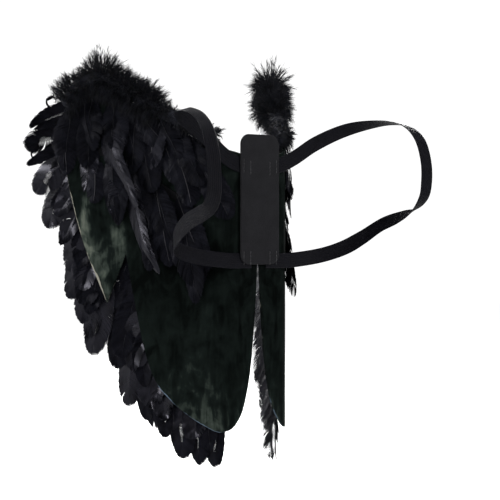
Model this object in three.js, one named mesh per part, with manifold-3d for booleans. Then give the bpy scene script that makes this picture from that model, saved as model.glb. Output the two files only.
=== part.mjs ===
// Feather costume wings: two boards cut in two lobes and joined by a panel between the shoulder blades,
// with feather rows on both faces, a fluffy boa along the top edge and an elastic strap for each shoulder.
// Millimetres, +Z up. The wearer faces -Y, and the wearer's right is -X.
// The origin is the middle of the panel's front face, where the wings sit on the back.
import * as THREE from "three";
import Module from "manifold-3d";

const wasm = await Module();
wasm.setup();

// Clearance between pieces that touch
const GAP = 0.3;

// Back panel, a rounded patch that stands across X and Z
const PANEL = { width: 64, height: 170, thickness: 2.4, corner: 14, cornerSteps: 4 };

// Elastic shoulder strap, a flat band
const STRAP = { width: 20, thickness: 1.5, steps: 36 };

// Wing board. Its flap lies flat behind the panel, then the sheet bends back by the root sweep, in degrees,
// and runs out on a slight curve to the tip sweep. rootSide: from the middle of the wings to the root.
const BOARD = {
  thickness: 2.5, flap: 30, bendRadius: 30, bendSteps: 5, rootSweep: 60, tipSweep: 53, sweepLength: 280,
  front: PANEL.thickness + STRAP.thickness + 2 * GAP, rootSide: 1.5,
};
const BEND_LENGTH = BOARD.bendRadius * THREE.MathUtils.degToRad(BOARD.rootSweep);

// Outline of the flat board, by distance out from the root: its lower and its upper edge.
// The notch between the lobes is at out 190, and the tip of the outer lobe at out 217.
const BOARD_OUTLINE = [
  { out: 0, low: -85, high: 55 },
  { out: 4, low: -150, high: 56 },
  { out: 10, low: -212, high: 57 },
  { out: 20, low: -263, high: 58 },
  { out: 34, low: -291, high: 61 },
  { out: 54, low: -302, high: 66 },
  { out: 77, low: -295, high: 74 },
  { out: 105, low: -279, high: 86 },
  { out: 127, low: -262, high: 97 },
  { out: 145, low: -242, high: 107 },
  { out: 157, low: -217, high: 114 },
  { out: 165, low: -190, high: 119 },
  { out: 178, low: -131, high: 127 },
  { out: 190, low: -71, high: 135 },
  { out: 217, low: -136, high: 151 },
  { out: 232, low: -103, high: 156 },
  { out: 246, low: -70, high: 149 },
  { out: 257, low: -38, high: 137 },
  { out: 266, low: -6, high: 124 },
  { out: 273, low: 24, high: 112 },
  { out: 279, low: 58, high: 100 },
  { out: 282, low: 82, high: 92 },
];

// Feather: narrow at its root, widest past the middle and round at its tip.
// A row alternates between a low and a high layer, and every feather rises from the board towards its tip.
const FEATHER_OUTLINE = [
  { along: 0, width: 0.1 },
  { along: 0.36, width: 0.8 },
  { along: 0.66, width: 1 },
  { along: 0.9, width: 0.74 },
  { along: 1, width: 0.24 },
];
const FEATHER = { thickness: 1.1, rise: 0.1, layerStep: 1.6, layerRamp: 0.3 };
const FEATHER_VARIETY = { length: 0.1, width: 0.12, aim: 5, rowSeeds: 100, featherSeeds: 3 };

// Tape that a row's feathers are sewn to. endMargin: the share of its length left free at each end
const TAPE = { width: 10, thickness: 1.4, endMargin: 0.02 };

// Feather rows of one wing. roots: where the row's tape runs, as [out, up] points on the flat board.
// aim: degrees from straight down towards the wing's outer side, at a feather's root.
// bend: degrees that a feather turns along its length. Each list is spread evenly from start to end.
const FEATHER_ROWS = [
  { name: "edge_upper", face: "back", count: 10, roots: [[240, 114], [254, 76], [250, 12], [221, -88]],
    aim: [86, 64, 22, 14, 16], bend: [-30, -18, -12], length: [104, 94, 104, 128, 124], width: [36, 36] },
  { name: "edge_lower", face: "back", count: 9, roots: [[178, -104], [156, -176], [112, -236], [50, -258]],
    aim: [24, 28, 20], bend: [-26, -46, -38], length: [132, 98, 98], width: [36, 34] },
  { name: "second", face: "back", count: 12,
    roots: [[190, 119], [204, 55], [170, -48], [115, -138], [46, -168]],
    aim: [88, 52, 16, 10, 0], bend: [-14, -10], length: [118, 108, 128, 122, 122], width: [46, 37, 36] },
  { name: "third", face: "back", count: 10, roots: [[134, 88], [146, 30], [106, -54], [40, -88]],
    aim: [104, 62, 28, 12, 2], bend: [-14, -6], length: [124, 120], width: [48, 38, 36] },
  { name: "shoulder", face: "back", count: 8, roots: [[78, 60], [92, 20], [36, -12]],
    aim: [104, 62, 28, 8], bend: [-14, -4], length: [118, 112], width: [46, 38, 36] },
  { name: "front_long", face: "front", count: 8, roots: [[244, 72], [214, 60], [165, 32], [112, 0]],
    aim: [-2, -18, -24], bend: [0, 6], length: [96, 142], width: [32, 32] },
  { name: "front_short", face: "front", count: 9, roots: [[274, 98], [246, 134], [190, 120], [92, 68]],
    aim: [6, -6, -20], bend: [-6, 0], length: [84, 96], width: [36, 36] },
];

// Boa: a core seated on the board's top edge, with tufts of down pulled out all round it.
// tuftReach is how far they stand out of the core's middle, at even steps from the inner end: short over
// the shoulder, then full, and longest where the edge turns at its peak. Below the cosine seatedBelow,
// measured from straight away from the edge, there are none.
const BOA = {
  inner: 66, outer: 268, steps: 34, sides: 14, coreRadius: 10, seat: 0.8, smoothing: 8,
  tuftReach: [13, 13, 13, 13, 14, 20, 28, 28, 26, 25, 25, 27, 36, 27, 23, 20],
  tuftVariety: 0.15, tuftLean: 5, seatedBelow: -0.6,
};

// Route of the right strap from the panel over the shoulder, down in front of it and back under the arm:
// a point in the middle of the band and the direction that its outer face looks.
const STRAP_ROUTE = [
  { at: [-12, 3.45, 40], facing: [0, 1, 0] },
  { at: [-26, 3.45, 43.5], facing: [0, 1, 0] },
  { at: [-40, 3.45, 47.5], facing: [0, 1, 0] },
  { at: [-60, 1.2, 57], facing: [0, 1, 0.05] },
  { at: [-90, -5, 76], facing: [-0.15, 0.97, 0.15] },
  { at: [-130, -20, 95], facing: [-0.3, 0.8, 0.5] },
  { at: [-157, -43, 103], facing: [-0.25, 0.45, 0.85] },
  { at: [-169, -68, 104], facing: [-0.2, 0.05, 0.98] },
  { at: [-173, -97, 97], facing: [-0.1, -0.5, 0.86] },
  { at: [-174, -118, 80], facing: [0, -0.88, 0.46] },
  { at: [-174, -130, 50], facing: [0, -0.99, 0.1] },
  { at: [-173, -132, 22], facing: [0, -1, 0] },
  { at: [-171, -129, 3], facing: [-0.12, -0.98, -0.12] },
  { at: [-167, -116, -13], facing: [-0.4, -0.85, -0.34] },
  { at: [-163, -93, -22], facing: [-0.75, -0.6, -0.28] },
  { at: [-160, -60, -32], facing: [-0.96, -0.2, -0.18] },
  { at: [-154, -28, -49], facing: [-0.97, 0.2, -0.1] },
  { at: [-142, -7, -62], facing: [-0.7, 0.7, 0] },
  { at: [-112, 2, -72], facing: [-0.12, 0.99, 0] },
  { at: [-60, 2.6, -79], facing: [0, 1, 0] },
  { at: [-40, 3.45, -80], facing: [0, 1, 0] },
  { at: [-26, 3.45, -80], facing: [0, 1, 0] },
  { at: [-12, 3.45, -80], facing: [0, 1, 0] },
];

const FELT = { color: "#16161a", roughness: 0.85 };
const PAINTED_BOARD = { color: "#2c3330", roughness: 0.65 };
const FEATHERS = { color: "#141519", roughness: 0.45 };
const DOWN = { color: "#0e0f13", roughness: 0.9 };
const ELASTIC = { color: "#1d1d22", roughness: 0.8 };

const lerp = THREE.MathUtils.lerp;
const radians = THREE.MathUtils.degToRad;

// A repeatable scattered number from -amount to amount for each seed
function vary(seed, amount) {
  const scatter = { frequency: 12.9898, height: 43758.5453 };
  const wave = Math.sin(seed * scatter.frequency) * scatter.height;
  return (2 * (wave - Math.floor(wave)) - 1) * amount;
}

// Value at t, from 0 to 1, on straight stretches through evenly spaced values
function along(values, t) {
  const place = t * (values.length - 1);
  const index = Math.min(Math.floor(place), values.length - 2);
  return lerp(values[index], values[index + 1], place - index);
}

// The flat wing wrapped on its bent sheet: out along the sheet, up, and proud of the board's front face
// towards the back. Gives the point on the right wing.
function onWing(out, up, proud) {
  const sweep = radians(BOARD.rootSweep);
  const bent = THREE.MathUtils.clamp(out - BOARD.flap, 0, BEND_LENGTH) / BOARD.bendRadius;
  let x = -BOARD.rootSide - Math.min(out, BOARD.flap) - BOARD.bendRadius * Math.sin(bent);
  let y = BOARD.front + BOARD.bendRadius * (1 - Math.cos(bent));
  let turn = bent;
  const past = out - BOARD.flap - BEND_LENGTH;
  if (past > 0) {
    const curve = BOARD.sweepLength / radians(BOARD.rootSweep - BOARD.tipSweep);
    turn = sweep - past / curve;
    x -= curve * (Math.sin(sweep) - Math.sin(turn));
    y += curve * (Math.cos(turn) - Math.cos(sweep));
  }
  return new THREE.Vector3(x + proud * Math.sin(turn), y + proud * Math.cos(turn), up);
}

// Closed solid through rings of points, each ring counterclockwise seen from the last one.
// Both faces of a band are split along the same diagonal, so that it keeps its thickness where it twists.
function loft(rings) {
  const sides = rings[0].length;
  const positions = rings.flat().flatMap((point) => point.toArray());
  const index = [];
  for (let ring = 0; ring + 1 < rings.length; ring += 1) {
    for (let side = 0; side < sides; side += 1) {
      const a = ring * sides + side;
      const b = ring * sides + ((side + 1) % sides);
      if (2 * side < sides) {
        index.push(a, b, b + sides, a, b + sides, a + sides);
      } else {
        index.push(a, b, a + sides, b, b + sides, a + sides);
      }
    }
  }
  const last = (rings.length - 1) * sides;
  for (let side = 1; side + 1 < sides; side += 1) {
    index.push(0, side + 1, side);
    index.push(last, last + side, last + side + 1);
  }
  const geometry = new THREE.BufferGeometry();
  geometry.setAttribute("position", new THREE.Float32BufferAttribute(positions, 3));
  geometry.setIndex(index);
  return geometry;
}

// Closed geometries joined into one body
function fuse(geometries) {
  const solids = geometries.map((geometry) => new wasm.Manifold(new wasm.Mesh({
    numProp: 3,
    vertProperties: new Float32Array(geometry.attributes.position.array),
    triVerts: new Uint32Array(geometry.index.array),
  })));
  const joined = solids.reduce((whole, solid) => whole.add(solid)).getMesh();
  const geometry = new THREE.BufferGeometry();
  geometry.setAttribute("position", new THREE.Float32BufferAttribute(joined.vertProperties, 3));
  geometry.setIndex(Array.from(joined.triVerts));
  return geometry;
}

// Rectangle of a band: half its width to each side and half its thickness to each face
function bandRing(centre, across, facing, width, thickness) {
  const corners = [[-0.5, -0.5], [0.5, -0.5], [0.5, 0.5], [-0.5, 0.5]];
  return corners.map(([side, face]) => centre.clone()
    .addScaledVector(across, side * width)
    .addScaledVector(facing, face * thickness));
}

function panelGeometry() {
  const { width, height, thickness, corner, cornerSteps } = PANEL;
  const right = width / 2 - corner;
  const top = height / 2 - corner;
  const outline = new THREE.Shape();
  outline.absarc(right, top, corner, 0, Math.PI / 2);
  outline.absarc(-right, top, corner, Math.PI / 2, Math.PI);
  outline.absarc(-right, -top, corner, Math.PI, 1.5 * Math.PI);
  outline.absarc(right, -top, corner, 1.5 * Math.PI, 2 * Math.PI);
  outline.closePath();
  const extrusion = { depth: thickness, bevelEnabled: false, curveSegments: cornerSteps };
  const geometry = new THREE.ExtrudeGeometry(outline, extrusion);
  geometry.rotateX(Math.PI / 2);
  geometry.translate(0, thickness, 0);
  return geometry;
}

// Lower and upper edge of the flat board at a distance out
function boardEdges(out) {
  const index = Math.max(BOARD_OUTLINE.findIndex((row) => row.out >= out), 1);
  const near = BOARD_OUTLINE[index - 1];
  const far = BOARD_OUTLINE[index];
  const t = (out - near.out) / (far.out - near.out);
  return { low: lerp(near.low, far.low, t), high: lerp(near.high, far.high, t) };
}

function boardGeometry() {
  const stops = BOARD_OUTLINE.map((row) => row.out);
  for (let step = 0; step <= BOARD.bendSteps; step += 1) {
    stops.push(BOARD.flap + BEND_LENGTH * step / BOARD.bendSteps);
  }
  stops.sort((a, b) => a - b);
  const rings = stops.map((out) => {
    const { low, high } = boardEdges(out);
    return [
      onWing(out, low, 0),
      onWing(out, high, 0),
      onWing(out, high, BOARD.thickness),
      onWing(out, low, BOARD.thickness),
    ];
  });
  return loft(rings);
}

// One feather, three sided with its shaft as the ridge, from its root on the tape
function featherGeometry({ root, aim, bend, length, width, layer, proudAt, front }) {
  let out = root.x;
  let up = root.y;
  let reached = 0;
  const rings = FEATHER_OUTLINE.map((station) => {
    const step = (station.along - reached) * length;
    const heading = radians(aim + bend * (station.along + reached) / 2);
    out += step * Math.sin(heading);
    up -= step * Math.cos(heading);
    reached = station.along;
    const cross = radians(aim + bend * reached);
    const half = station.width * width / 2;
    const sideOut = half * Math.cos(cross);
    const sideUp = half * Math.sin(cross);
    const ramp = THREE.MathUtils.smoothstep(reached, 0, FEATHER.layerRamp);
    const height = FEATHER.rise * reached * length + layer * FEATHER.layerStep * ramp;
    const ring = [
      onWing(out + sideOut, up + sideUp, proudAt(height)),
      onWing(out, up, proudAt(height + FEATHER.thickness)),
      onWing(out - sideOut, up - sideUp, proudAt(height)),
    ];
    return front ? ring.reverse() : ring;
  });
  return loft(rings);
}

// Smooth root line of a row on the flat board
function rootLine(roots) {
  return new THREE.CatmullRomCurve3(roots.map(([out, up]) => new THREE.Vector3(out, up, 0)));
}

function tapeGeometry(line, count, proud) {
  const rings = [];
  for (let step = 0; step < count; step += 1) {
    const t = step / (count - 1);
    const centre = line.getPointAt(t);
    const run = line.getTangentAt(t);
    const ring = bandRing(new THREE.Vector3(centre.x, centre.y, proud), new THREE.Vector3(-run.y, run.x, 0),
      new THREE.Vector3(0, 0, 1), TAPE.width, TAPE.thickness);
    rings.push(ring.map((point) => onWing(point.x, point.y, point.z)));
  }
  return loft(rings);
}

// A tape with its feathers, fused, on the board's front or back
function rowGeometry(row, rowIndex) {
  const line = rootLine(row.roots);
  const seat = GAP + TAPE.thickness / 2;
  const front = row.face === "front";
  const proudAt = (height) => (front ? -seat - height : BOARD.thickness + seat + height);
  const pieces = [tapeGeometry(line, row.count, proudAt(0))];
  for (let place = 0; place < row.count; place += 1) {
    const t = place / (row.count - 1);
    const seed = rowIndex * FEATHER_VARIETY.rowSeeds + place * FEATHER_VARIETY.featherSeeds;
    pieces.push(featherGeometry({
      root: line.getPointAt(lerp(TAPE.endMargin, 1 - TAPE.endMargin, t)),
      aim: along(row.aim, t) + vary(seed + 1, FEATHER_VARIETY.aim),
      bend: along(row.bend, t),
      length: along(row.length, t) * (1 + vary(seed + 2, FEATHER_VARIETY.length)),
      width: along(row.width, t) * (1 + vary(seed + 3, FEATHER_VARIETY.width)),
      layer: place % 2,
      proudAt,
      front,
    }));
  }
  return fuse(pieces);
}

// Middle of the boa's core on the flat wing, seated on the board's top edge, with the directions
// along the boa and away from the edge
function boaPlace(t) {
  const out = lerp(BOA.inner, BOA.outer, t);
  const before = new THREE.Vector3(out - BOA.smoothing, boardEdges(out - BOA.smoothing).high, 0);
  const after = new THREE.Vector3(out + BOA.smoothing, boardEdges(out + BOA.smoothing).high, 0);
  const run = after.clone().sub(before).normalize();
  const rise = new THREE.Vector3(-run.y, run.x, 0);
  const centre = new THREE.Vector3(out, boardEdges(out).high, BOARD.thickness / 2);
  centre.addScaledVector(rise, BOA.coreRadius + BOA.seat);
  return { centre, run, rise };
}

// The boa: a tube whose every second point is pulled out into a tuft, except where it sits on the board
function boaGeometry() {
  const rings = Array.from({ length: BOA.steps + 1 }, (_, step) => {
    const t = step / BOA.steps;
    const { centre, run, rise } = boaPlace(t);
    const atEnd = step === 0 || step === BOA.steps;
    const reach = along(BOA.tuftReach, t);
    return Array.from({ length: BOA.sides }, (_, side) => {
      const turn = 2 * Math.PI * side / BOA.sides;
      const seed = step * BOA.sides + side;
      const leanSeed = seed + 0.5;
      const tuft = !atEnd && (step + side) % 2 === 0 && Math.cos(turn) > BOA.seatedBelow;
      const radius = tuft ? reach * (1 + vary(seed, BOA.tuftVariety)) : BOA.coreRadius;
      const lean = tuft ? vary(leanSeed, BOA.tuftLean) : 0;
      const point = centre.clone()
        .addScaledVector(rise, radius * Math.cos(turn))
        .addScaledVector(run, lean);
      return onWing(point.x, point.y, point.z + radius * Math.sin(turn));
    });
  });
  return loft(rings);
}

function strapGeometry() {
  const route = new THREE.CatmullRomCurve3(STRAP_ROUTE.map((stop) => new THREE.Vector3(...stop.at)));
  const facings = new THREE.CatmullRomCurve3(STRAP_ROUTE.map((stop) => new THREE.Vector3(...stop.facing)));
  const rings = Array.from({ length: STRAP.steps + 1 }, (_, step) => {
    const t = step / STRAP.steps;
    const run = route.getTangent(t);
    const facing = facings.getPoint(t);
    facing.addScaledVector(run, -facing.dot(run)).normalize();
    const across = facing.clone().cross(run);
    return bandRing(route.getPoint(t), across, facing, STRAP.width, STRAP.thickness);
  });
  return loft(rings);
}

function mesh(name, geometry, finish) {
  const piece = new THREE.Mesh(geometry, new THREE.MeshStandardMaterial(finish));
  piece.name = name;
  return piece;
}

// One wing with its strap, as the right one. The left one is its mirror image.
function wing(side) {
  const group = new THREE.Group();
  group.add(mesh(`board_${side}`, boardGeometry(), PAINTED_BOARD));
  FEATHER_ROWS.forEach((row, index) => {
    group.add(mesh(`${row.name}_feathers_${side}`, rowGeometry(row, index), FEATHERS));
  });
  group.add(mesh(`boa_${side}`, boaGeometry(), DOWN));
  group.add(mesh(`strap_${side}`, strapGeometry(), ELASTIC));
  return group;
}

const wings = new THREE.Group();
wings.add(mesh("back_panel", panelGeometry(), FELT));
wings.add(wing("right"));
const left = wing("left");
left.scale.x = -1;
wings.add(left);

export default wings;
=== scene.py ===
import math
import bpy
import numpy as np
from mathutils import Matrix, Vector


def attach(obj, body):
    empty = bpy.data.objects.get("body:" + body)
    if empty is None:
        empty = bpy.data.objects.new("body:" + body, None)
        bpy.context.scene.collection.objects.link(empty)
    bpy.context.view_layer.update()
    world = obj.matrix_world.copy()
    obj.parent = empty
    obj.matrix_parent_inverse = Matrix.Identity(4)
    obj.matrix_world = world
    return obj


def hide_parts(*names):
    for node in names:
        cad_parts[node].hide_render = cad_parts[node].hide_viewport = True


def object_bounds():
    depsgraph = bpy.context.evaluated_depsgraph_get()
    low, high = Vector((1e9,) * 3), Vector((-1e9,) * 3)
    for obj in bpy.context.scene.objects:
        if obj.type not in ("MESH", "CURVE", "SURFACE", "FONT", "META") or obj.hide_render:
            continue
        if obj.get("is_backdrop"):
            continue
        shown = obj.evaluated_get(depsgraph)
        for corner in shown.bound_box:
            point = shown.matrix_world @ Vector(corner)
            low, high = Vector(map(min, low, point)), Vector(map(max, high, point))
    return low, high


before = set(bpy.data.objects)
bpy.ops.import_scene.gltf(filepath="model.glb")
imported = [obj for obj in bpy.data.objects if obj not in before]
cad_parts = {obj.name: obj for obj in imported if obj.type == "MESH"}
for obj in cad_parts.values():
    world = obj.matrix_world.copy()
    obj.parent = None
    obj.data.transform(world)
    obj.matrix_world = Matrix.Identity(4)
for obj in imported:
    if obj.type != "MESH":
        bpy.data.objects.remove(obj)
cad_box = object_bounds()

# Wing boards: one for each side, cut from stiff sheet in two lobes with a notch between them.
# Each lies flat behind the back panel, is bent back beside it and runs out on a slight curve.
# The sheet is brushed by hand with grey-green paint, and its cut edge stays pale.
# Shade and light are painted into the paint's tone, as darker and paler patches of it.
MM = 0.001
WING_SIDES = {"right": 1, "left": -1}
# Measures on the flat wing are millimetres: out along the sheet, up, and proud, which is counted
# back from the front face
BOARD_THICKNESS = 2.5
BOARD_FRONT = 4.5
ROOT_SIDE = 1.5
FLAP_LENGTH = 30
BEND_RADIUS = 30
ROOT_SWEEP = math.radians(60)
TIP_SWEEP = math.radians(53)
SWEEP_LENGTH = 280
# Columns: out, lower edge, upper edge
BOARD_OUTLINE = np.array([
    (0, -85, 55), (4, -150, 56), (10, -212, 57), (20, -263, 58), (34, -291, 61), (54, -302, 66),
    (77, -295, 74), (105, -279, 86), (127, -262, 97), (145, -242, 107), (157, -217, 114),
    (165, -190, 119), (178, -131, 127), (190, -71, 135), (217, -136, 151), (232, -103, 156),
    (246, -70, 149), (257, -38, 137), (266, -6, 124), (273, 24, 112), (279, 58, 100), (282, 82, 92),
], float)
NOTCH_OUT = 190
LOBE_TIP_OUT = 217
PEAK_OUT = 232
BOARD_COLUMN_STEP = 3.0
BOARD_ROWS = 34
# Paler patches, partly of the paint and partly painted light, columns: out, up, reach out, reach up, strength
PALE_PATCHES_AND_PAINTED_LIGHT = [
    (250, -46, 9, 38, 0.46), (240, -74, 9, 20, 0.18), (229, -100, 15, 24, 0.29), (203, -62, 15, 30, 0.36),
    (222, -72, 12, 18, 0.22), (218, -126, 8, 14, 0.24), (246, -6, 7, 9, 0.28), (75, -292, 60, 24, 0.2),
    (90, -238, 44, 40, 0.07),
]
# Darker smears of the paint, and painted shade over the inner lobe and near the root, with the same columns
DARK_SMEARS_AND_PAINTED_SHADE = [(224, -38, 10, 12, 0.2), (240, -18, 7, 9, 0.2), (245, 18, 24, 16, 0.12),
               (140, -90, 50, 90, 0.2), (30, -120, 40, 120, 0.1)]
PAINT_BASE_TONE = 0.2
# Colours along the tone, from painted shade through the paint's own tones to painted light
PAINT_AND_SHADE_TONES = [
    (0.0, (0.0014, 0.0020, 0.0018)), (0.3, (0.0056, 0.0082, 0.0073)),
    (0.6, (0.034, 0.043, 0.036)), (1.0, (0.125, 0.138, 0.112)),
]
# Stretches where the cut edge is left bare, columns: out, up, reach out, reach up, width
BARE_STRETCHES = [(264, -20, 20, 62, 1.7), (231, -108, 13, 36, 3.4), (90, -288, 64, 30, 1.4),
                  (138, -255, 16, 16, 1.9)]
PAINT_OVER_EDGE = 0.7
BARE_EDGE_WARM = (0.22, 0.215, 0.18)
BARE_EDGE_BLUE_REFLECTION = (0.072, 0.10, 0.132)
# Heights up to which the bare edge looks cool with a painted bluish reflection, and from which it looks warm
EDGE_REFLECTION_UP = -240
EDGE_WARM_UP = -140
EDGE_CHIPS = 0.6
EDGE_SOFTNESS = 0.3
# Brush marks: how they lean, how their pattern is stretched and how far they shift the paint's tone
STROKE_LEAN = 0.5
STROKE_STRETCH = (9.0, 1.6, 1.0)
STROKE_TONE = 0.05
SMEAR_LEAN = -0.7
SMEAR_STRETCH = (3.0, 1.2, 1.0)
SMEAR_TONE = 0.16
CLOUD_TONE = 0.1
# How strongly the marks show where the tone is dark with paint and painted shade, and where it is pale, which
# starts at this tone
MARKS_SHOWN = (0.45, 1.3)
PALE_TONE = 0.7
PAINT_ROUGHNESS = (0.42, 0.62)
PAINT_GLOSS = 0.005
PAINT_RELIEF = 0.25
BOARD_SHARP_ANGLE = math.radians(35)
# Paint patterns are laid out on the flat wing in steps of 100 mm
PATTERN_STEP = 100
# What nearly all, most and half of a noise pattern lies between
NOISE_ALL = (0.2, 0.8)
NOISE_MOST = (0.3, 0.7)
NOISE_HALF = (0.35, 0.65)
TINY = 1e-12


def on_wing(out, up, proud):
    """Points of the flat right wing wrapped on its bent sheet, in metres of the shared frame."""
    out, up, proud = np.broadcast_arrays(out, up, proud)
    bend_length = BEND_RADIUS * ROOT_SWEEP
    curve = SWEEP_LENGTH / (ROOT_SWEEP - TIP_SWEEP)
    bent = np.clip(out - FLAP_LENGTH, 0, bend_length) / BEND_RADIUS
    turn = bent - np.maximum(out - FLAP_LENGTH - bend_length, 0) / curve
    x = -ROOT_SIDE - np.minimum(out, FLAP_LENGTH) - BEND_RADIUS * np.sin(bent)
    y = BOARD_FRONT + BEND_RADIUS * (1 - np.cos(bent))
    x = x - curve * (np.sin(bent) - np.sin(turn)) + proud * np.sin(turn)
    y = y + curve * (np.cos(turn) - np.cos(bent)) + proud * np.cos(turn)
    return np.stack([x, y, up], axis=-1) * MM


def edge_heights(out, heights, corners):
    """Heights of an edge of the board at distances out, smooth between its sharp corners."""
    stops = BOARD_OUTLINE[:, 0]
    result = np.zeros(len(out))
    ends = [stops[0], *corners, stops[-1]]
    for first, last in zip(ends, ends[1:]):
        kept = (stops >= first) & (stops <= last)
        inside = (out >= first) & (out <= last)
        place, height = stops[kept], heights[kept]
        slope = np.gradient(height, place)
        index = np.clip(np.searchsorted(place, out[inside]) - 1, 0, len(place) - 2)
        span = place[index + 1] - place[index]
        share = (out[inside] - place[index]) / span
        near = height[index] + (height[index] * 2 + slope[index] * span) * share
        far = height[index + 1] + (height[index + 1] * 2 - slope[index + 1] * span) * (1 - share)
        result[inside] = near * (1 - share) ** 2 + far * share ** 2
    return result


def loft(rings):
    """Faces of a closed surface through rings of points: quads between them and one face at each end."""
    count, sides = rings.shape[:2]
    start = (np.arange(count - 1)[:, None] * sides + np.arange(sides)).ravel()
    beside = (np.arange(count - 1)[:, None] * sides + (np.arange(sides) + 1) % sides).ravel()
    quads = np.stack([start, beside, beside + sides, start + sides], axis=1)
    first = np.arange(sides)[None, ::-1]
    last = (count - 1) * sides + np.arange(sides)[None]
    return [quads, first, last]


def make_piece(name, side, points, faces, measures, materials, face_materials=None):
    """A mesh object from the right wing's points, mirrored for the left wing, with named measures."""
    mesh = bpy.data.meshes.new(name)
    corners = points.reshape(-1, 3) * (side, 1, 1)
    turned = [block if side > 0 else block[:, ::-1] for block in faces]
    mesh.from_pydata(corners.tolist(), [], [face for block in turned for face in block.tolist()])
    for label, values in measures.items():
        if values.ndim == 1:
            mesh.attributes.new(label, "FLOAT", "POINT").data.foreach_set("value", values.astype(np.float32))
        else:
            flat = values.astype(np.float32).ravel()
            mesh.attributes.new(label, "FLOAT_VECTOR", "POINT").data.foreach_set("vector", flat)
    for material in materials:
        mesh.materials.append(material)
    if face_materials:
        index = np.concatenate([np.full(len(block), use) for block, use in zip(faces, face_materials)])
        mesh.polygons.foreach_set("material_index", index.astype(np.int32))
    mesh.update()
    piece = bpy.data.objects.new(name, mesh)
    bpy.context.scene.collection.objects.link(piece)
    return piece


def new_surface(name):
    """A new material, its node tree and its surface shader."""
    material = bpy.data.materials.new(name)
    material.use_nodes = True
    return material, material.node_tree, material.node_tree.nodes["Principled BSDF"]


def set_inputs(node, inputs):
    """Puts values or other nodes' outputs on a node's inputs."""
    for label, value in inputs.items():
        if isinstance(value, bpy.types.NodeSocket):
            node.id_data.links.new(value, node.inputs[label])
        else:
            node.inputs[label].default_value = value


def add_node(tree, kind, inputs=None, **settings):
    """A shader node in a tree of nodes, with its settings and inputs."""
    node = tree.nodes.new("ShaderNode" + kind)
    for label, value in settings.items():
        setattr(node, label, value)
    set_inputs(node, inputs or {})
    return node


def measure(tree, label):
    """A named measure of the mesh."""
    return add_node(tree, "Attribute", attribute_name=label).outputs["Fac"]


def noise(place, scale, detail=3.0, swirl=0.0):
    """A cloudy pattern from 0 to 1 over a place."""
    inputs = {"Vector": place, "Scale": scale, "Detail": detail, "Distortion": swirl}
    return add_node(place.id_data, "TexNoise", inputs).outputs["Fac"]


def combine(operation, first, second):
    """One number from two, of which the first is another node's output."""
    return add_node(first.id_data, "Math", {0: first, 1: second}, operation=operation).outputs[0]


def spread(value, span, new_span=(0.0, 1.0)):
    """A number eased from one range to another."""
    (low, high), (new_low, new_high) = span, new_span
    inputs = {"Value": value, "From Min": low, "From Max": high, "To Min": new_low, "To Max": new_high}
    return add_node(value.id_data, "MapRange", inputs, interpolation_type="SMOOTHSTEP").outputs["Result"]


def blend_colours(share, first, second):
    """Two colours mixed by a share, where either may be another node's output."""
    first, second = (colour if isinstance(colour, bpy.types.NodeSocket) else (*colour, 1)
                     for colour in (first, second))
    # The node's inputs 6 and 7 and its output 2 are the ones for colours
    return add_node(share.id_data, "Mix", {0: share, 6: first, 7: second}, data_type="RGBA").outputs[2]


def colour_ramp(value, stops):
    """A colour picked along stops by a number."""
    node = add_node(value.id_data, "ValToRGB", {"Fac": value})
    elements = node.color_ramp.elements
    while len(elements) < len(stops):
        elements.new(1.0)
    for element, (place, colour) in zip(elements, stops):
        element.position = place
        element.color = (*colour, 1)
    return node.outputs["Color"]


def raise_surface(surface, height, depth_mm):
    """Fine relief on the surface."""
    relief = {"Height": height, "Distance": depth_mm * MM, "Strength": 1.0}
    set_inputs(surface, {"Normal": add_node(surface.id_data, "Bump", relief).outputs["Normal"]})


def brushed_along(place, lean, stretch):
    """A place turned on the board and stretched, so that a pattern on it runs one way."""
    inputs = {"Vector": place, "Rotation": (0, 0, lean), "Scale": stretch}
    return add_node(place.id_data, "Mapping", inputs).outputs["Vector"]


def brushed_paint_and_shade():
    material, tree, surface = new_surface("brushed_paint_with_painted_shade")
    place = add_node(tree, "Attribute", attribute_name="flat_place").outputs["Vector"]
    # The tone measure holds the paint's own patches and smears together with painted shade and light
    paint_and_shade_tone = measure(tree, "paint_and_shade_tone")
    along = brushed_along(place, STROKE_LEAN, STROKE_STRETCH)
    strokes = noise(along, scale=3.0, detail=5.0, swirl=0.4)
    along = brushed_along(place, SMEAR_LEAN, SMEAR_STRETCH)
    smears = noise(along, scale=1.5, detail=6.0, swirl=1.2)
    clouds = noise(place, scale=5.0, detail=6.0, swirl=0.8)
    marks = combine("ADD", spread(strokes, NOISE_MOST, (-STROKE_TONE, STROKE_TONE)),
                    spread(smears, NOISE_HALF, (-SMEAR_TONE, SMEAR_TONE)))
    marks = combine("ADD", marks, spread(clouds, NOISE_HALF, (-CLOUD_TONE, CLOUD_TONE)))
    shown = spread(paint_and_shade_tone, (0.0, PALE_TONE), MARKS_SHOWN)
    tone = combine("ADD", paint_and_shade_tone, combine("MULTIPLY", marks, shown))
    paint = colour_ramp(tone, PAINT_AND_SHADE_TONES)
    chips = spread(noise(place, scale=9.0, detail=5.0), NOISE_MOST, (-EDGE_CHIPS, EDGE_CHIPS))
    ragged = combine("ADD", measure(tree, "edge_margin"), chips)
    bare = spread(ragged, (-EDGE_SOFTNESS, EDGE_SOFTNESS), (1.0, 0.0))
    height = add_node(tree, "SeparateXYZ", {"Vector": place}).outputs["Y"]
    # Low on the board the bare edge carries a painted bluish reflection
    warm = spread(height, (EDGE_REFLECTION_UP / PATTERN_STEP, EDGE_WARM_UP / PATTERN_STEP))
    edge = blend_colours(warm, BARE_EDGE_BLUE_REFLECTION, BARE_EDGE_WARM)
    set_inputs(surface, {
        "Base Color": blend_colours(bare, paint, edge),
        "Roughness": spread(strokes, NOISE_ALL, PAINT_ROUGHNESS),
        "Specular IOR Level": PAINT_GLOSS,
    })
    raise_surface(surface, combine("ADD", strokes, clouds), PAINT_RELIEF)
    return material


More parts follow.
